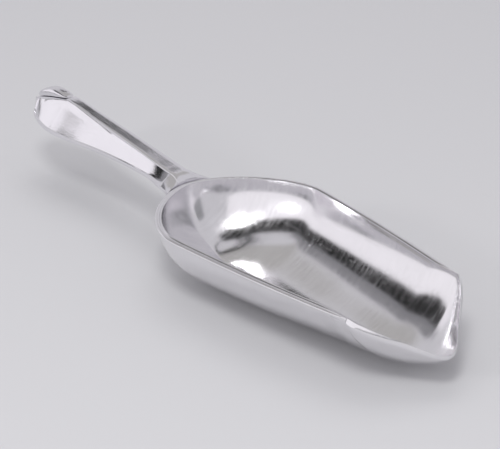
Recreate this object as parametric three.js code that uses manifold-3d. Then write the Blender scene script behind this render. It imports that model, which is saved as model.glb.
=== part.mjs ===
// Ice scoop: a pressed steel bowl with a flat beaded flange, a tent-shaped
// handle joined to the back of the flange, and a low cap on the handle's end.
// Millimetres, +Z up. +X runs from the handle to the mouth, the XZ plane is the
// plane of symmetry. Shapes are laid out with x = 0 at the widest station and
// z = 0 on the flange's top; the group then moves them to stand on z = 0.
import * as THREE from 'three';
import Module from 'manifold-3d';

const wasm = await Module();
wasm.setup();

// ---- driving dimensions: bowl ----------------------------------------------
const HALF_WIDTH = 35.0;          // flange's outer half width at x = 0
const BACK_LENGTH = 35.6;         // widest station to the back of the flange
const BACK_POWER = 1.197;         // exponent of the superellipse at the back
const MOUTH_X = 83.3;             // corners where the flange stops
const MOUTH_HALF = 25.5;          // flange's outer half width at the corners
const SIDE_BULGE = 1.23;          // bow of the sides
const FLANGE = 2.5;               // flange width
const WALL = 1.3;                 // sheet thickness
const DEPTH = 24.9;               // inside depth of the belly
const TIP_X = 106.2;              // front of the cut lip
const TIP_DEPTH = 12.6;           // lip's lowest point below the flange
const SPINE_BACK = -10.0;         // the back's ribs gather on the spine here
const SPINE = [                   // inside depth along the spine: x, depth
  [0, 24.90], [10, 24.83], [20, 24.64], [30, 24.40], [40, 23.98],
  [50, 23.37], [60, 22.80], [70, 22.41], [78, 22.03], [84, 21.50], [88, 20.88],
  [92, 19.99], [95, 18.94], [98, 17.70], [100.5, 16.53], [103, 15.10], [104.8, 13.79], [106.2, 12.60],
];
const BACK_ROUND = 1.05;          // rib exponent: 1 is an ellipse
const MOUTH_ROUND = 1.5;          // larger is closer to a V
const LAND = 0.55;                // belly flattened by this much to stand on
const LIP = [                     // cut edge from corner to tip: x, half width, z
  [83.3, 23.0, 0], [85.0, 22.8, -1.0], [88.1, 21.2, -2.7], [92.9, 16.8, -5.3], [96.7, 12.7, -7.4],
  [101.2, 8.0, -9.85], [104.5, 4.3, -11.66], [105.8, 1.9, -12.35], [106.2, 0, -12.6],
];

// ---- driving dimensions: handle --------------------------------------------
const GAP = 0.35;                 // clearance between joined pieces
const STRIP = [                   // top strip: x, half width, z
  [-131.6, 2.9, 4.6], [-130.2, 3.0, 5.3], [-126.0, 3.0, 6.6], [-120.0, 2.8, 8.1], [-113.0, 2.4, 9.45],
  [-111.0, 2.2, 9.8], [-110.2, 2.15, 10.2], [-94.0, 2.4, 8.6], [-78.2, 2.7, 7.0], [-61.6, 3.0, 5.1],
  [-50.9, 3.3, 3.75], [-41.4, 3.4, 2.5], [-38.5, 3.8, 1.5], [-36.0, 4.6, 0.6],
];
const FOOT = [                    // bottom edge: x, half width, z
  [-131.6, 3.2, -2.2], [-131.0, 4.4, -2.2], [-129.0, 5.9, -2.2], [-125.8, 7.3, -2.2], [-121.5, 8.9, -2.2],
  [-117.1, 10.1, -2.2], [-112.5, 10.9, -2.2], [-107.8, 11.0, -2.2], [-101.0, 10.4, -2.2], [-94.8, 9.5, -2.2],
  [-88.0, 8.4, -2.2], [-80.9, 7.6, -2.2], [-72.0, 6.9, -2.2], [-63.1, 6.6, -2.2], [-56.0, 6.6, -2.2],
  [-51.2, 6.9, -2.2], [-46.0, 7.7, -2.3], [-42.5, 8.8, -2.4], [-39.0, 9.9, -2.4], [-36.0, 11.0, -2.3],
];
const EDGE = 1.5;                 // upright lip along the bottom edge
const RECESS = 0.4;               // side panels set in by this much
const PANEL_FROM = -129.9, PANEL_TO = -41.9;
const HOLLOW_FROM = -124.0, HOLLOW_TO = -48.0;   // hollow under the grip
const SHELL = 1.6;                // thickness left around the hollow
const HANDLE_X = [-131.6, -131.2, -130.5, -129.6, -128.0, -125.8, -121.5, -117.1, -113.0, -111.0, -110.2,
  -107.8, -101.0, -94.8, -88.0, -80.9, -72.0, -63.1, -56.0, -51.2, -46.0, -43.6, -42.2, -41.5, -40.2, -39.0, -37.6, -36.0];
const CAP = [                     // end cap: x, half width, top z
  [-130.8, 1.9, 6.6], [-129.9, 2.4, 7.6], [-128.2, 2.8, 8.8], [-125.5, 3.0, 10.1], [-122.0, 3.0, 11.2],
  [-118.5, 2.9, 11.7], [-115.0, 2.6, 11.5], [-112.3, 2.1, 10.9], [-111.2, 1.6, 10.4],
];

// ---- helpers ---------------------------------------------------------------
const mix = (a, b, t) => a + (b - a) * t;
const clamp = (v, a, b) => Math.min(b, Math.max(a, v));

function look(table, x, column) {
  if (x <= table[0][0]) return table[0][column];
  for (let i = 1; i < table.length; i++) {
    if (x <= table[i][0]) {
      const t = (x - table[i - 1][0]) / (table[i][0] - table[i - 1][0]);
      return mix(table[i - 1][column], table[i][column], t);
    }
  }
  return table[table.length - 1][column];
}

// Welds equal points, drops collapsed triangles, turns the faces outward.
function solid(quads) {
  const points = [], index = [], seen = new Map();
  const id = (p) => {
    const key = p.map((v) => Math.round(v * 1e3) + 0).join(',');
    if (!seen.has(key)) { seen.set(key, points.length); points.push(p); }
    return seen.get(key);
  };
  const tri = (a, b, c) => { if (a !== b && b !== c && a !== c) index.push([a, b, c]); };
  for (const q of quads) {
    const [a, b, c, d] = q.map(id);
    tri(a, b, c); tri(a, c, d);
  }
  let volume = 0;
  for (const [a, b, c] of index) {
    const p = points[a], q = points[b], r = points[c];
    volume += p[0] * (q[1] * r[2] - q[2] * r[1]) + p[1] * (q[2] * r[0] - q[0] * r[2]) + p[2] * (q[0] * r[1] - q[1] * r[0]);
  }
  const faces = volume < 0 ? index.map(([a, b, c]) => [a, c, b]) : index;
  const geometry = new THREE.BufferGeometry();
  geometry.setAttribute('position', new THREE.Float32BufferAttribute(points.flat(), 3));
  geometry.setIndex(faces.flat());
  geometry.computeVertexNormals();
  return geometry;
}

function manifold(geometry) {
  return new wasm.Manifold(new wasm.Mesh({
    numProp: 3,
    vertProperties: new Float32Array(geometry.attributes.position.array),
    triVerts: new Uint32Array(geometry.index.array),
  }));
}

// Skins a run of equal rings; `ends` are the quads that close the two ends.
function tube(rings, ends) {
  const quads = [...ends], n = rings[0].length;
  for (let i = 0; i + 1 < rings.length; i++) {
    for (let j = 0; j < n; j++) {
      const k = (j + 1) % n;
      quads.push([rings[i][j], rings[i][k], rings[i + 1][k], rings[i + 1][j]]);
    }
  }
  return solid(quads);
}

// Closes a flat ring from its middle.
function fan(ring, first) {
  const n = ring.length;
  const middle = [0, 1, 2].map((a) => ring.reduce((sum, p) => sum + p[a], 0) / n);
  return ring.map((p, j) => {
    const q = ring[(j + 1) % n];
    return first ? [q, p, middle, middle] : [p, q, middle, middle];
  });
}

// ---- bowl ------------------------------------------------------------------
const halfAt = (x) => {
  const t = x / MOUTH_X;
  return HALF_WIDTH + (MOUTH_HALF - HALF_WIDTH) * Math.pow(t, 0.95) + SIDE_BULGE * 4 * t * (1 - t);
};

const insideDepth = (x) => look(SPINE, x, 1);

// Outline points set in from the flange's outer edge; u runs 0 (back) to 1 (corner).
const SPLIT = 0.42;               // share of the outline spent on the back
function rimPoint(u, inset) {
  const split = SPLIT;
  if (u < split) {
    const a = (1 - u / split) * Math.PI / 2;
    return [-(BACK_LENGTH - inset) * Math.pow(Math.sin(a), BACK_POWER),
      -(HALF_WIDTH - inset) * Math.pow(Math.max(0, Math.cos(a)), BACK_POWER), 0];
  }
  const x = MOUTH_X * (u - split) / (1 - split);
  return [x, -(halfAt(x) - inset), 0];
}

// The rib from an edge point down to the spine, k running 0 (edge) to 1 (spine).
function rib(edge, cx, cz, k, power) {
  const a = k * Math.PI / 2;
  const c = Math.pow(Math.max(0, Math.cos(a)), power), s = Math.pow(Math.sin(a), power);
  return [mix(cx, edge[0], c), k === 1 ? 0 : edge[1] * c, mix(edge[2], cz, s)];
}

const FLANGE_PROFILE = [          // inset from the outer edge, z
  [2.0, 0], [1.75, -0.22], [1.5, 0], [0.55, 0], [0.12, -0.3], [0, -0.7], [0.2, -1.3],
];

function bowlGeometry() {
  const RIM = 50, CUT = 14, ROWS = 14;
  const columns = [];
  const belly = -(DEPTH + WALL) + LAND;
  const column = (edge, out, power, flange, cx) => {
    const cz = -insideDepth(cx), line = [];
    for (let k = ROWS; k >= 0; k--) line.push(rib(edge, cx, cz, k / ROWS, power));
    for (const p of flange) line.push(p);
    for (let k = 0; k <= ROWS; k++) {
      const p = rib(out, cx, cz - WALL, k / ROWS, power);
      line.push([p[0], p[1], Math.max(p[2], belly)]);
    }
    columns.push(line);
  };
  for (let i = 0; i <= RIM; i++) {
    const u = i / RIM, edge = rimPoint(u, FLANGE), out = rimPoint(u, FLANGE - WALL);
    out[2] = -WALL;
    const power = mix(BACK_ROUND, MOUTH_ROUND, Math.pow(clamp(edge[0] / MOUTH_X, 0, 1), 1.5));
    if (i === 0) { edge[1] = 0; out[1] = 0; }
    const flange = FLANGE_PROFILE.map(([inset, z]) => {
      const p = rimPoint(u, inset);
      return [p[0], i === 0 ? 0 : p[1], z];
    });
    const cx = u < SPLIT ? SPINE_BACK * (1 - u / SPLIT) : edge[0];
    column(edge, out, power, flange, cx);
    if (i === RIM) column(edge, out, power, FLANGE_PROFILE.map(() => out), cx);
  }
  for (let i = 1; i <= CUT; i++) {
    const x = mix(MOUTH_X, TIP_X, 1 - Math.pow(1 - i / CUT, 1.35));
    const last = i === CUT;
    const edge = [x, last ? 0 : -look(LIP, x, 1), last ? -TIP_DEPTH : look(LIP, x, 2)];
    const t = (x - MOUTH_X) / (TIP_X - MOUTH_X);
    const out = [x, last ? 0 : edge[1] - WALL * (1 - t), edge[2] - WALL];
    column(edge, out, MOUTH_ROUND, FLANGE_PROFILE.map(() => out), x);
  }
  const quads = [], other = (p) => [p[0], -p[1] + 0, p[2]];
  for (let i = 0; i + 1 < columns.length; i++) {
    const a = columns[i], b = columns[i + 1];
    for (let j = 0; j + 1 < a.length; j++) {
      const q = [a[j], a[j + 1], b[j + 1], b[j]];
      quads.push(q);
      quads.push([q[3], q[2], q[1], q[0]].map(other));
    }
  }
  return solid(quads);
}

// ---- handle ----------------------------------------------------------------
// x of the flange's outer edge at a given y, for the neck to follow.
function flangeEdge(y) {
  const c = Math.pow(clamp(Math.abs(y) / HALF_WIDTH, 0, 1), 1 / BACK_POWER);
  return -BACK_LENGTH * Math.pow(Math.sqrt(1 - c * c), BACK_POWER);
}

function neck(x, y, z) {            // neck sections bend to the flange
  const t = clamp((x + 44) / 8, 0, 1);
  return [t > 0 ? mix(x, flangeEdge(y) - GAP, Math.pow(t, 1.2)) : x, y, z];
}

function handleSide(x) {
  const wt = look(STRIP, x, 1), zt = look(STRIP, x, 2);
  const wb = look(FOOT, x, 1), zb = look(FOOT, x, 2);
  const set = x > PANEL_FROM && x < PANEL_TO ? RECESS : 0;
  const edge = Math.min(EDGE, (zt - zb) * 0.5), top = Math.min(wt, wb - 0.5);
  return [
    [top, zt], [top + 0.08, zt - set * 1.3 - 0.05],
    [mix(top, wb, 0.5) - set, mix(zt, zb + edge, 0.5) - set * 0.4],
    [wb - 0.35 - set, zb + edge + set * 0.35], [wb - 0.12, zb + edge], [wb, zb + 0.3], [wb - 0.35, zb],
  ];
}

function handleGeometry() {
  const rings = HANDLE_X.map((x) => {
    const side = handleSide(x), [top, zt] = side[0], [foot, zb] = side[6];
    const ring = [[0, zt], [top / 2, zt], ...side, [foot / 2, zb], [0, zb], [-foot / 2, zb],
      ...[...side].reverse().map(([y, z]) => [-y, z]), [-top / 2, zt]];
    return ring.map(([y, z]) => neck(x, y, z));
  });
  const ends = [];
  for (const [x, first] of [[HANDLE_X[0], true], [HANDLE_X[HANDLE_X.length - 1], false]]) {
    const rows = handleSide(x).map(([y, z]) => [-1, -0.5, 0, 0.5, 1].map((k) => neck(x, k * y, z)));
    for (let i = 0; i < 6; i++) {
      for (let j = 0; j < 4; j++) {
        const q = [rows[i][j], rows[i][j + 1], rows[i + 1][j + 1], rows[i + 1][j]];
        ends.push(first ? q.reverse() : q);
      }
    }
  }
  return hollowed(tube(rings, ends));
}

// Cuts the long hollow out of the handle's underside.
function hollowed(geometry) {
  const xs = [0, 0.12, 0.28, 0.45, 0.62, 0.8, 0.92, 1].map((t) => mix(HOLLOW_FROM, HOLLOW_TO, t));
  const rings = xs.map((x) => {
    const shrink = x === xs[0] || x === xs[xs.length - 1] ? 0.6 : 1;
    const top = (look(STRIP, x, 1) - 0.9) * shrink, foot = (look(FOOT, x, 1) - RECESS - SHELL - 0.5) * shrink;
    const roof = look(STRIP, x, 2) - SHELL - 0.3, floor = look(FOOT, x, 2);
    const ring = [[top, roof], [foot, floor + 0.6], [foot, floor - 1]];
    return [...ring, ...[...ring].reverse().map(([y, z]) => [-y, z])].map(([y, z]) => [x, y, z]);
  });
  const body = manifold(geometry).subtract(manifold(tube(rings, [...fan(rings[0], true), ...fan(rings[rings.length - 1], false)])));
  const out = body.getMesh(), result = new THREE.BufferGeometry();
  const points = new Float32Array(out.vertProperties.length / out.numProp * 3);
  for (let i = 0; i < points.length / 3; i++) for (let a = 0; a < 3; a++) points[i * 3 + a] = out.vertProperties[i * out.numProp + a];
  result.setAttribute('position', new THREE.BufferAttribute(points, 3));
  result.setIndex(new THREE.BufferAttribute(new Uint32Array(out.triVerts), 1));
  result.computeVertexNormals();
  return result;
}

// ---- end cap ---------------------------------------------------------------
function capGeometry() {
  const arch = [[1, 0], [1, 0.45], [0.86, 0.78], [0.5, 0.96], [0, 1]];
  const ring = ([x, w, top]) => {
    const base = look(STRIP, x, 2) + GAP;
    const right = arch.map(([y, r]) => [x, y * w, mix(base, top, r)]);
    const left = arch.slice(0, 4).reverse().map(([y, r]) => [x, -y * w, mix(base, top, r)]);
    return [...right, ...left, [x, 0, base]];
  };
  const rings = CAP.map(ring);
  return tube(rings, [...fan(rings[0], true), ...fan(rings[rings.length - 1], false)]);
}

// ---- assembly --------------------------------------------------------------
const group = new THREE.Group();
const add = (name, geometry, color, roughness) => {
  const mesh = new THREE.Mesh(geometry,
    new THREE.MeshStandardMaterial({ color, roughness, metalness: 1.0 }));
  mesh.name = name;
  mesh.position.set((-HANDLE_X[0] - TIP_X) / 2, 0, DEPTH + WALL - LAND);
  group.add(mesh);
};

add('bowl', bowlGeometry(), 0xc9c7ca, 0.12);
add('handle', handleGeometry(), 0xcfccd2, 0.16);
add('handle_end_cap', capGeometry(), 0xc6c4c9, 0.14);

export default group;
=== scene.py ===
import bpy, bmesh, math
import numpy as np
from mathutils import Matrix, Vector


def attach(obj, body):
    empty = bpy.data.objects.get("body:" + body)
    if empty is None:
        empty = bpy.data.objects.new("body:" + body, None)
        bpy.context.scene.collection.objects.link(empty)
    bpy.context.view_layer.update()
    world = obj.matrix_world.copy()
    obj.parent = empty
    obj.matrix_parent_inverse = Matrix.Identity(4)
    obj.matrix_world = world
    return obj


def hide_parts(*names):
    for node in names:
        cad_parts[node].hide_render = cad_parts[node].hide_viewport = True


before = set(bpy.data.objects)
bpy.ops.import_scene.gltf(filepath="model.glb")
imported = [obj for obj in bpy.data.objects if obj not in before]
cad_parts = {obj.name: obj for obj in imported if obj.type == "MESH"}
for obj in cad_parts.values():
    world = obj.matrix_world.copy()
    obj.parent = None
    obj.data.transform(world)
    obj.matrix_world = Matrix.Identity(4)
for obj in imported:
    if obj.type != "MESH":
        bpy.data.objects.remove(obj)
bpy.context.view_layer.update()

MM = 0.001
SHIFT = (12.7, 0.0, 25.65)            # from the shape's own zero to the row frame, mm

# ---------------------------------------------------------------- helpers
def curve(table, column):
    """Smooth monotone curve through a table's rows, as a function of x."""
    x = np.array([r[0] for r in table], float)
    y = np.array([r[column] for r in table], float)
    h, d = np.diff(x), np.diff(y) / np.diff(x)
    m = np.zeros(len(x))
    for i in range(1, len(x) - 1):
        if d[i - 1] * d[i] > 0:
            a, b = 2 * h[i] + h[i - 1], h[i] + 2 * h[i - 1]
            m[i] = (a + b) / (a / d[i - 1] + b / d[i])
    m[0], m[-1] = d[0], d[-1]
    def f(q):
        q = min(max(q, x[0]), x[-1])
        i = min(int(np.searchsorted(x, q, side="right")) - 1, len(x) - 2)
        t = (q - x[i]) / h[i]
        return float((1 + 2 * t) * (1 - t) ** 2 * y[i] + t * (1 - t) ** 2 * h[i] * m[i]
                     + t * t * (3 - 2 * t) * y[i + 1] + t * t * (t - 1) * h[i] * m[i + 1])
    return f

def mix(a, b, t):
    return a + (b - a) * t

def clamp(v, a, b):
    return min(b, max(a, v))

def piece(name, verts, faces, sharp=35.0):
    v = [((p[0] + SHIFT[0]) * MM, (p[1] + SHIFT[1]) * MM, (p[2] + SHIFT[2]) * MM) for p in verts]
    me = bpy.data.meshes.new(name)
    me.from_pydata(v, [], faces)
    bm = bmesh.new()
    bm.from_mesh(me)
    bmesh.ops.remove_doubles(bm, verts=bm.verts, dist=2e-6)
    bmesh.ops.dissolve_degenerate(bm, edges=bm.edges, dist=1e-6)
    bmesh.ops.recalc_face_normals(bm, faces=bm.faces)
    bm.to_mesh(me)
    bm.free()
    for p in me.polygons:
        p.use_smooth = True
    me.set_sharp_from_angle(angle=math.radians(sharp))
    ob = bpy.data.objects.new(name, me)
    bpy.context.scene.collection.objects.link(ob)
    return ob

# ---------------------------------------------------------------- bowl
HALF_WIDTH, BACK_LENGTH, BACK_POWER = 35.0, 35.6, 1.197
MOUTH_X, MOUTH_HALF, SIDE_BULGE = 83.3, 25.5, 1.23
FLANGE, WALL, DEPTH, LAND = 2.5, 1.3, 24.9, 0.55
TIP_X, TIP_DEPTH, SPINE_BACK = 106.2, 12.6, -10.0
spine_depth = curve([(-40, 24.9), (0, 24.9), (30, 24.4), (60, 22.8), (80, 21.9), (90, 20.5), (98, 17.7), (103, 15.1), (106.2, 12.6)], 1)
lip_half = curve([(83.3, 23.0), (85.0, 22.8), (88.1, 21.2), (92.9, 16.8), (96.7, 12.7), (101.2, 8.0), (104.5, 4.3), (105.8, 1.9), (106.2, 0)], 1)
SPLIT = 0.42

def side_half(x):
    t = x / MOUTH_X
    return HALF_WIDTH + (MOUTH_HALF - HALF_WIDTH) * t ** 0.95 + SIDE_BULGE * 4 * t * (1 - t)

def outline_raw(u):
    if u < SPLIT:
        a = (1 - u / SPLIT) * math.pi / 2
        return (-BACK_LENGTH * math.sin(a) ** BACK_POWER, -HALF_WIDTH * max(0.0, math.cos(a)) ** BACK_POWER)
    x = MOUTH_X * (u - SPLIT) / (1 - SPLIT)
    return (x, -side_half(x))

def smooth_outline(count, reach=2.2):
    """The outline with its turns eased over `reach` mm, and the outward normals."""
    fine = [outline_raw(i / 1600) for i in range(1601)]
    pts = np.array([(x, -y) for x, y in fine[:0:-1]] + fine)
    seg = np.r_[0, np.cumsum(np.hypot(*np.diff(pts, axis=0).T))]
    s = np.linspace(0, seg[-1], 3001)
    P = np.c_[np.interp(s, seg, pts[:, 0]), np.interp(s, seg, pts[:, 1])]
    k = int(3 * reach / (s[1] - s[0]))
    w = np.exp(-0.5 * (np.arange(-k, k + 1) * (s[1] - s[0]) / reach) ** 2)
    w /= w.sum()
    pad = np.vstack([2 * P[0] - P[k:0:-1], P, 2 * P[-1] - P[-2:-k - 2:-1]])
    Q = np.c_[np.convolve(pad[:, 0], w, "valid"), np.convolve(pad[:, 1], w, "valid")]
    Q = Q[1500:]
    Q[0, 1] = 0.0
    seg = np.r_[0, np.cumsum(np.hypot(*np.diff(Q, axis=0).T))]
    s = np.linspace(0, seg[-1], count + 1)
    R = np.c_[np.interp(s, seg, Q[:, 0]), np.interp(s, seg, Q[:, 1])]
    T = np.gradient(R, axis=0)
    T[0] = (0, -1)
    T /= np.hypot(T[:, 0], T[:, 1])[:, None]
    N = np.c_[T[:, 1], -T[:, 0]]
    N *= np.sign((N * (R - np.array([20.0, 0.0]))).sum(1))[:, None]
    return R, N, s / s[-1]

PROFILE = [(2.46, -0.02), (2.3, 0.0), (2.1, 0.0), (1.95, -0.1), (1.75, -0.36), (1.55, -0.1), (1.4, 0.0), (1.0, 0.02), (0.6, 0.0),
           (0.3, -0.12), (0.1, -0.34), (0.02, -0.65), (0.08, -1.0), (0.25, -1.24), (0.45, -1.3), (1.0, -1.3)]

def build_bowl():
    RIM, CUT, ROWS = 190, 46, 40
    R, N, S = smooth_outline(RIM)
    floor_z = -(DEPTH + WALL) + LAND
    cols = []
    def rib(edge, cx, cz, power, blunt, lift=0.0):
        out = []
        for k in range(ROWS + 1):
            a = k / ROWS * math.pi / 2
            w = max(0.0, math.cos(a)) ** power if k < ROWS else 0.0
            we = (math.sqrt(w * w + blunt * blunt) - blunt) / (math.sqrt(1 + blunt * blunt) - blunt) if blunt > 0 else w
            f = max(0.0, 1 - min(1.0, we) ** (2 / power)) ** (power / 2)
            out.append([mix(cx, edge[0], w), edge[1] * w, mix(edge[2], cz, f)])
        return out
    def settle(z):
        d = z - floor_z                     # the belly eases onto its flat land
        return floor_z + (d if d > 0.25 else (0.0 if d <= 0 else d * d * (3 - 2 * d / 0.25) / 0.25 * 0.5 + d * 0.5))
    def column(edge, out, power, flange, cx):
        blunt = 0.13 * clamp((power - 1.05) / 0.45, 0, 1)
        cz = -spine_depth(cx)
        line = rib(edge, cx, cz, power, blunt)[::-1] + [list(p) for p in flange]
        line += [[p[0], p[1], settle(p[2])] for p in rib(out, cx, cz - WALL, power, blunt)]
        cols.append(line)
    # spine position for each outline point: gathered at the back, straight across along the sides
    for i in range(RIM + 1):
        p, n = R[i], N[i]
        def at(inset, z):
            return [p[0] - n[0] * inset, 0.0 if i == 0 else p[1] - n[1] * inset, z]
        ease = clamp((p[0] - 70.0) / (MOUTH_X - 70.0), 0, 1)
        ins = FLANGE - 1.7 * ease * ease * (3 - 2 * ease)     # the flange runs out at the mouth
        edge, out = at(ins, 0.0), at(max(ins - WALL, 0.12), -WALL)
        if i == RIM:
            edge[0] = out[0] = p[0]
        if edge[0] < 12:
            q = i / max(1, int(np.argmax(R[:, 0] - N[:, 0] * FLANGE > 12)))
            cx = SPINE_BACK + (12 - SPINE_BACK) * (0.55 * q + 0.45 * q * q)
        else:
            cx = edge[0]
        power = mix(1.05, 1.5, clamp(edge[0] / MOUTH_X, 0, 1) ** 1.5)
        flange = [at(a * ins / FLANGE, z) for a, z in PROFILE[:-1]] + [at(min(0.6 * max(ins - WALL, 0.2), 1.0), -WALL)]
        if i == RIM:
            flange = [[p[0], q[1], q[2]] for q in flange]
        column(edge, out, power, flange, cx)
        if i == RIM:
            column(edge, out, power, [out] * len(PROFILE), cx)
    corner = cols[-1][ROWS]
    half0 = -corner[1]
    for i in range(1, CUT + 1):
        x = mix(MOUTH_X, TIP_X, 1 - (1 - i / CUT) ** 1.6)
        last = i == CUT
        extra = (half0 - 23.0) * clamp(1 - (x - MOUTH_X) / 7.0, 0, 1) ** 2
        edge = [x, 0.0 if last else -(lip_half(x) + extra), -TIP_DEPTH if last else -0.55 * (x - MOUTH_X)]
        t = (x - MOUTH_X) / (TIP_X - MOUTH_X)
        out = [x, 0.0 if last else edge[1] - WALL * (1 - t), edge[2] - WALL]
        column(edge, out, 1.5, [out] * len(PROFILE), x)
    n = len(cols[0])
    verts, faces = [], []
    for side in (1, -1):
        base = len(verts)
        for c in cols:
            verts += [(p[0], p[1] * side, p[2]) for p in c]
        for i in range(len(cols) - 1):
            for j in range(n - 1):
                a, b = base + i * n + j, base + (i + 1) * n + j
                f = (a, a + 1, b + 1, b)
                faces.append(f if side == 1 else f[::-1])
    return piece("scoop_bowl", verts, faces, 38)

# ---------------------------------------------------------------- handle
STRIP = [(-131.6, 2.9, 4.6), (-130.2, 3.0, 5.3), (-126.0, 3.0, 6.6), (-120.0, 2.8, 8.1), (-113.0, 2.4, 9.45),
         (-111.0, 2.2, 9.8), (-110.2, 2.15, 10.2), (-94.0, 2.4, 8.6), (-78.2, 2.7, 7.0), (-61.6, 3.0, 5.1),
         (-50.9, 3.3, 3.75), (-41.4, 3.4, 2.5), (-38.5, 3.8, 1.5), (-36.0, 4.6, 0.6)]
FOOT = [(-131.6, 3.2, -2.2), (-131.0, 4.4, -2.2), (-129.0, 5.9, -2.2), (-125.8, 7.3, -2.2), (-121.5, 8.9, -2.2),
        (-117.1, 10.1, -2.2), (-112.5, 10.9, -2.2), (-107.8, 11.0, -2.2), (-101.0, 10.4, -2.2), (-94.8, 9.5, -2.2),
        (-88.0, 8.4, -2.2), (-80.9, 7.6, -2.2), (-72.0, 6.9, -2.2), (-63.1, 6.6, -2.2), (-56.0, 6.6, -2.2),
        (-51.2, 6.9, -2.2), (-46.0, 7.7, -2.3), (-42.5, 8.8, -2.4), (-39.0, 9.9, -2.4), (-36.0, 11.0, -2.3)]
top_w, top_z, foot_w, foot_z = curve(STRIP, 1), curve(STRIP, 2), curve(FOOT, 1), curve(FOOT, 2)
EDGE, RECESS, GAP = 1.5, 0.45, 0.4
PANEL_FROM, PANEL_TO = -129.9, -41.9

def flange_edge(y):
    c = clamp(abs(y) / HALF_WIDTH, 0, 1) ** (1 / BACK_POWER)
    return -BACK_LENGTH * math.sqrt(max(0.0, 1 - c * c)) ** BACK_POWER

def neck(x, y, z):
    t = clamp((x + 44) / 8, 0, 1)
    return (mix(x, flange_edge(y) - GAP, t ** 1.2) if t > 0 else x, y, z)

def handle_side(x):
    wt, zt, wb, zb = top_w(x), top_z(x), foot_w(x), foot_z(x)
    s = clamp(min(x - PANEL_FROM, PANEL_TO - x) / 0.35, 0, 1) * RECESS
    edge, top = min(EDGE, (zt - zb) * 0.5), min(wt, wb - 0.5)
    def flank(t, out):
        return (mix(top, wb - 0.12, t) - out, mix(zt, zb + edge, t) - out * 0.45)
    pts = [(top - 0.25, zt + 0.0), (top, zt - 0.08), (top + 0.12, zt - 0.25 - s * 0.9)]
    for t in (0.12, 0.3, 0.5, 0.7, 0.88):
        a, b = flank(t, s)
        pts.append((a, b))
    pts += [(wb - 0.35 - s, zb + edge + s * 0.3), (wb - 0.12, zb + edge), (wb, zb + edge * 0.6), (wb - 0.02, zb + 0.35), (wb - 0.35, zb)]
    return pts

def tube(name, rings, ends, sharp):
    verts, faces, n = [], [], len(rings[0])
    for r in rings:
        verts += r
    for i in range(len(rings) - 1):
        for j in range(n):
            k = (j + 1) % n
            faces.append((i * n + j, i * n + k, (i + 1) * n + k, (i + 1) * n + j))
    for q in ends:
        b = len(verts)
        verts += q
        faces.append(tuple(range(b, b + len(q))))
    return piece(name, verts, faces, sharp)

def build_handle():
    xs = [-131.6, -131.5, -131.3, -131.0, -130.6, -130.2, -129.9, -129.7, -129.5, -129.0, -128.2]
    xs += list(np.linspace(-127, -111.4, 22)) + [-111.0, -110.8, -110.5, -110.2, -109.8]
    xs += list(np.linspace(-109, -44, 80)) + [-43.4, -42.8, -42.3, -42.1, -41.9, -41.6] + list(np.linspace(-41.2, -36, 16))
    rings = []
    for x in xs:
        side = handle_side(x)
        (t, zt), (f, zb) = side[0], side[-1]
        ring = [(0, zt), (t / 2, zt)] + side + [(f / 2, zb), (0, zb), (-f / 2, zb)] + [(-y, z) for y, z in side[::-1]] + [(-t / 2, zt)]
        rings.append([neck(x, y, z) for y, z in ring])
    ends = []
    for x in (xs[0], xs[-1]):
        rows = [[neck(x, k * y, z) for k in (-1, -0.5, 0, 0.5, 1)] for y, z in handle_side(x)]
        for a, b in zip(rows[:-1], rows[1:]):
            for j in range(4):
                ends.append([a[j], a[j + 1], b[j + 1], b[j]])
    body = tube("scoop_handle", rings, ends, 32)
    # the hollow under the grip
    rings = []
    ts = np.linspace(0, 1, 31)
    for t in ts:
        x = mix(-123.6, -48.4, t)
        g = 0.55 + 0.45 * min(1.0, math.sqrt(max(0.0, 1 - (abs(t - 0.5) * 2) ** 12)))
        a, b = (top_w(x) - 1.1) * g, (foot_w(x) - RECESS - 2.3) * g
        roof, low = top_z(x) - 2.1, foot_z(x)
        ring = [(a, roof), (mix(a, b, 0.5), mix(roof, low + 0.8, 0.5)), (b, low + 0.8), (b + 0.15, low - 1)]
        ring += [(-y, z) for y, z in ring[::-1]]
        rings.append([(x, y, z) for y, z in ring])
    cutter = tube("cutter", rings, [rings[0][::-1], rings[-1]], 32)
    m = body.modifiers.new("hollow", "BOOLEAN")
    m.operation, m.object, m.solver = "DIFFERENCE", cutter, "EXACT"
    dg = bpy.context.evaluated_depsgraph_get()
    me = bpy.data.meshes.new_from_object(body.evaluated_get(dg))
    body.modifiers.clear()
    body.data = me
    bpy.data.objects.remove(cutter)
    for p in me.polygons:
        p.use_smooth = True
    me.set_sharp_from_angle(angle=math.radians(32))
    return body

CAP = [(-130.8, 1.9, 6.6), (-129.9, 2.4, 7.6), (-128.2, 2.8, 8.8), (-125.5, 3.0, 10.1), (-122.0, 3.0, 11.2),
       (-118.5, 2.9, 11.7), (-115.0, 2.6, 11.5), (-112.3, 2.1, 10.9), (-111.2, 1.6, 10.4)]

def build_cap():
    cw, ct = curve(CAP, 1), curve(CAP, 2)
    xs = [-130.8, -130.7] + list(np.linspace(-130.5, -111.5, 50)) + [-111.35, -111.2]
    rings = []
    for x in xs:
        e = clamp(min(x + 130.8, -111.2 - x) / 0.5, 0, 1)
        ease = math.sqrt(max(0.0, 1 - (1 - e) ** 2))
        w, base = cw(x) - 0.35 * (1 - ease), top_z(x) + GAP
        top = ct(x) - 0.3 * (1 - ease)
        ring = [(w - 0.15, base)]
        for k in range(0, 13):
            a = k / 12 * math.pi / 2
            ring.append((w * math.cos(a) ** 0.72, mix(base + 0.12, top, math.sin(a) ** 0.8)))
        ring[-1] = (0.0, ring[-1][1])
        ring += [(-y, z) for y, z in ring[-2::-1]]
        rings.append([(x, y, z) for y, z in ring])
    return tube("scoop_end_cap", rings, [rings[0][::-1], rings[-1]], 40)

bowl, handle, cap = build_bowl(), build_handle(), build_cap()

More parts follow.
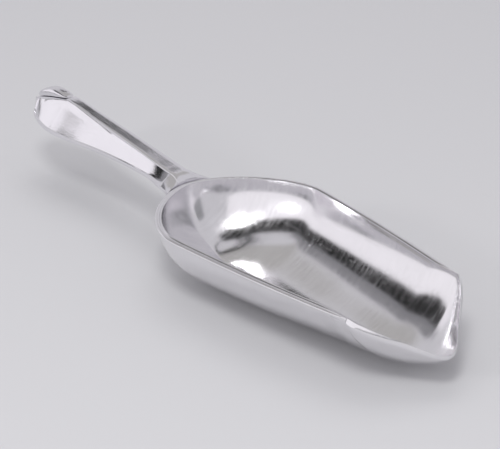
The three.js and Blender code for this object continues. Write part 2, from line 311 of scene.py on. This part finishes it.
# ---------------------------------------------------------------- polished steel
def steel(name, colour, rough, grain_scale, grain, wear):
    m = bpy.data.materials.new(name)
    m.use_nodes = True
    nt = m.node_tree
    N, L = nt.nodes, nt.links
    N.clear()
    out, b = N.new("ShaderNodeOutputMaterial"), N.new("ShaderNodeBsdfPrincipled")
    L.new(b.outputs[0], out.inputs[0])
    b.inputs["Metallic"].default_value = 1.0
    b.inputs["Anisotropic"].default_value = 0.25
    tc = N.new("ShaderNodeTexCoord")
    def mapped(scale):
        mp = N.new("ShaderNodeMapping")
        mp.inputs["Scale"].default_value = scale
        L.new(tc.outputs["Object"], mp.inputs["Vector"])
        return mp.outputs["Vector"]
    def noise(scale, size, detail=3.0, rough_=0.6):
        n = N.new("ShaderNodeTexNoise")
        n.inputs["Scale"].default_value = size
        n.inputs["Detail"].default_value = detail
        n.inputs["Roughness"].default_value = rough_
        L.new(mapped(scale), n.inputs["Vector"])
        return n.outputs["Fac"]
    def remap(src, a, b_, lo, hi):
        r = N.new("ShaderNodeMapRange")
        for k, v in ((1, a), (2, b_), (3, lo), (4, hi)):
            r.inputs[k].default_value = v
        L.new(src, r.inputs[0])
        return r.outputs[0]
    def math_(op, x, y):
        n = N.new("ShaderNodeMath")
        n.operation = op
        for k, v in ((0, x), (1, y)):
            if isinstance(v, (int, float)):
                n.inputs[k].default_value = v
            else:
                L.new(v, n.inputs[k])
        return n.outputs[0]
    lines = noise(grain_scale, 1.0, 4.0, 0.7)           # fine polish lines
    cloud = noise((60, 60, 60), 1.0, 3.0, 0.5)          # uneven buffing
    smudge = noise((160, 160, 160), 1.0, 4.0, 0.65)
    scratch = N.new("ShaderNodeTexNoise")
    scratch.inputs["Scale"].default_value = 1.0
    scratch.inputs["Detail"].default_value = 1.0
    L.new(mapped((90, 900, 500)), scratch.inputs["Vector"])
    hair = remap(scratch.outputs["Fac"], 0.66, 0.72, 0.0, 1.0)
    r = math_("ADD", remap(cloud, 0.3, 0.7, rough * 0.75, rough * 1.2), remap(lines, 0.3, 0.7, 0.0, grain))
    r = math_("ADD", r, math_("MULTIPLY", remap(smudge, 0.55, 0.75, 0.0, 1.0), wear))
    r = math_("ADD", r, math_("MULTIPLY", hair, wear * 0.8))
    L.new(r, b.inputs["Roughness"])
    ramp = N.new("ShaderNodeMix")
    ramp.data_type = "RGBA"
    ramp.inputs[6].default_value = (*[c * 0.93 for c in colour], 1)
    ramp.inputs[7].default_value = (*colour, 1)
    L.new(remap(math_("ADD", math_("MULTIPLY", lines, 0.5), math_("MULTIPLY", cloud, 0.5)), 0.35, 0.62, 0.0, 1.0), ramp.inputs[0])
    L.new(ramp.outputs[2], b.inputs["Base Color"])
    bump = N.new("ShaderNodeBump")
    bump.inputs["Strength"].default_value = 0.35
    bump.inputs["Distance"].default_value = 0.00005
    L.new(lines, bump.inputs["Height"])
    L.new(bump.outputs[0], b.inputs["Normal"])
    return m

mat_bowl = steel("polished_bowl", (0.86, 0.85, 0.87), 0.10, (1300, 150, 150), 0.12, 0.06)
mat_handle = steel("polished_handle", (0.87, 0.86, 0.89), 0.10, (240, 2400, 2400), 0.05, 0.05)
mat_cap = steel("polished_cap", (0.84, 0.83, 0.86), 0.12, (240, 2400, 2400), 0.05, 0.05)
for ob, m, node, s in ((bowl, mat_bowl, "bowl", "bowl_steel"), (handle, mat_handle, "handle", "handle_steel"), (cap, mat_cap, "handle_end_cap", "cap_steel")):
    ob.data.materials.clear()
    ob.data.materials.append(m)
    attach(ob, "root")
    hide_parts(node)

# ---------------------------------------------------------------- stage
def plain(name, colour, rough=0.8, emit=None):
    m = bpy.data.materials.new(name)
    m.use_nodes = True
    b = m.node_tree.nodes["Principled BSDF"]
    b.inputs["Base Color"].default_value = (*colour, 1)
    b.inputs["Roughness"].default_value = rough
    if emit is not None:
        b.inputs["Emission Color"].default_value = (*emit[:3], 1)
        b.inputs["Emission Strength"].default_value = emit[3]
    return m

def sheet(name, centre, size, facing, material, hidden=True):
    me = bpy.data.meshes.new(name)
    w, h = size[0] / 2, size[1] / 2
    me.from_pydata([(-w, -h, 0), (w, -h, 0), (w, h, 0), (-w, h, 0)], [], [(0, 1, 2, 3)])
    me.materials.append(material)
    ob = bpy.data.objects.new(name, me)
    bpy.context.scene.collection.objects.link(ob)
    d = (Vector(facing) - Vector(centre)).normalized()
    ob.matrix_world = Matrix.Translation(centre) @ d.to_track_quat("Z", "Y").to_matrix().to_4x4()
    if hidden:
        ob.visible_camera = False
        ob.visible_shadow = False
    return ob

floor = sheet("floor", (0, 0, -0.0002), (6, 6), (0, 0, 1), plain("floor_paper", (0.60, 0.60, 0.61), 0.85), hidden=False)

world = bpy.data.worlds.new("studio")
bpy.context.scene.world = world
world.use_nodes = True
bg = world.node_tree.nodes["Background"]
bg.inputs[0].default_value = (0.90, 0.885, 0.93, 1)
bg.inputs[1].default_value = 0.70

# Studio cards: patches of a large dome round the object, given by azimuth (0 along +X, 90 along +Y)
# and elevation in degrees. They show only in reflections.
def dome_point(az, el, r=1.6):
    a, e = math.radians(az), math.radians(el)
    return (r * math.cos(a) * math.cos(e), r * math.sin(a) * math.cos(e), r * math.sin(e))

def card(name, path, level, tint=(1, 1, 1), r=1.6):
    """A ribbon on the dome: rows of azimuth, low elevation, high elevation."""
    fine = []
    for p, q in zip(path[:-1], path[1:]):
        for k in range(8):
            fine.append([mix(p[i], q[i], k / 8) for i in range(3)])
    fine.append(list(path[-1]))
    rows = 6
    v, f = [], []
    for az, lo, hi in fine:
        v += [dome_point(az, mix(lo, hi, j / rows), r) for j in range(rows + 1)]
    for i in range(len(fine) - 1):
        for j in range(rows):
            c = i * (rows + 1) + j
            f.append((c, c + 1, c + rows + 2, c + rows + 1))
    me = bpy.data.meshes.new(name)
    me.from_pydata(v, [], f)
    m = bpy.data.materials.new(name)
    m.use_nodes = True
    nt = m.node_tree
    nt.nodes.clear()
    o, e = nt.nodes.new("ShaderNodeOutputMaterial"), nt.nodes.new("ShaderNodeEmission")
    e.inputs[0].default_value = (*tint, 1)
    e.inputs[1].default_value = level
    nt.links.new(e.outputs[0], o.inputs[0])
    me.materials.append(m)
    ob = bpy.data.objects.new(name, me)
    bpy.context.scene.collection.objects.link(ob)
    ob.visible_camera = ob.visible_shadow = ob.visible_diffuse = False
    return ob

card("near_softbox", [(186, 4, 22), (194, 2, 28), (200, 1, 30), (215, 1, 34), (232, 1, 38), (255, 1, 47), (274, 1, 55), (295, 1, 60), (318, 4, 64), (332, 12, 62)], 0.98, (0.985, 0.96, 1.0))
card("horizon_flag", [(188, 0.2, 2.2), (240, 0.2, 3.0), (300, 0.2, 3.0), (340, 0.2, 2.2)], 0.05, r=1.5)
card("dark_flag", [(10, 78, 80), (350, 70, 80), (320, 61, 83), (295, 56, 81), (274, 50, 76), (255, 43, 68), (240, 36, 61), (228, 32, 54), (214, 28, 44), (204, 25, 38), (198, 24.5, 34.5), (192, 27, 30.5), (186, 27.5, 28.5)], 0.02, r=1.5)
card("dark_flag_back", [(139, 34, 35), (144, 30, 37), (150, 29, 37.5), (153, 32, 36)], 0.03, r=1.5)
card("grey_step", [(184, 28, 36), (192, 29, 41), (200, 32, 44), (210, 36, 49), (222, 42, 56)], 0.26, (0.95, 0.94, 1.0), r=1.55)
card("mouth_side", [(8, 4, 32), (16, 2, 34), (28, 2, 32), (36, 4, 28)], 0.34, (0.95, 0.95, 1.0))
card("overhead", [(120, 40, 78), (150, 40, 84), (180, 41, 84), (200, 44, 80)], 0.46, (1.0, 0.98, 0.965), r=1.7)

def lamp(name, loc, target, size, power, colour=(1, 1, 1)):
    l = bpy.data.lights.new(name, "AREA")
    l.shape, l.size, l.size_y, l.energy, l.color = "ELLIPSE", size[0], size[1], power, colour
    ob = bpy.data.objects.new(name, l)
    bpy.context.scene.collection.objects.link(ob)
    d = (Vector(target) - Vector(loc)).normalized()
    ob.matrix_world = Matrix.Translation(loc) @ (-d).to_track_quat("Z", "Y").to_matrix().to_4x4()
    return ob

lamp("key", (0.36, -0.36, 0.72), (0, 0, 0), (0.24, 0.24), 2.4)
lamp("fill", (-0.05, -0.85, 0.46), (0, 0, 0), (0.16, 0.16), 1.0)
lamp("top", (-0.45, 0.35, 1.1), (0, 0, 0), (0.9, 0.9), 2.4).visible_glossy = False

# ---------------------------------------------------------------- camera
cam_data = bpy.data.cameras.new("camera")
cam_data.lens, cam_data.sensor_width = 153.2, 36.0
cam_data.clip_start, cam_data.clip_end = 0.01, 20
cam = bpy.data.objects.new("camera", cam_data)
bpy.context.scene.collection.objects.link(cam)
right = Vector((0.62457, 0.78095, -0.00473))
down = Vector((0.33213, -0.2711, -0.90344))
ahead = Vector((-0.70683, 0.56269, -0.4287))
place = Vector((540.65 + SHIFT[0], -428.88, 323.06 + SHIFT[2])) * MM
rot = Matrix((right, -down, -ahead)).transposed()
cam.matrix_world = Matrix.Translation(place) @ rot.to_4x4()
bpy.context.scene.camera = cam
bpy.context.scene.view_settings.view_transform = "Standard"
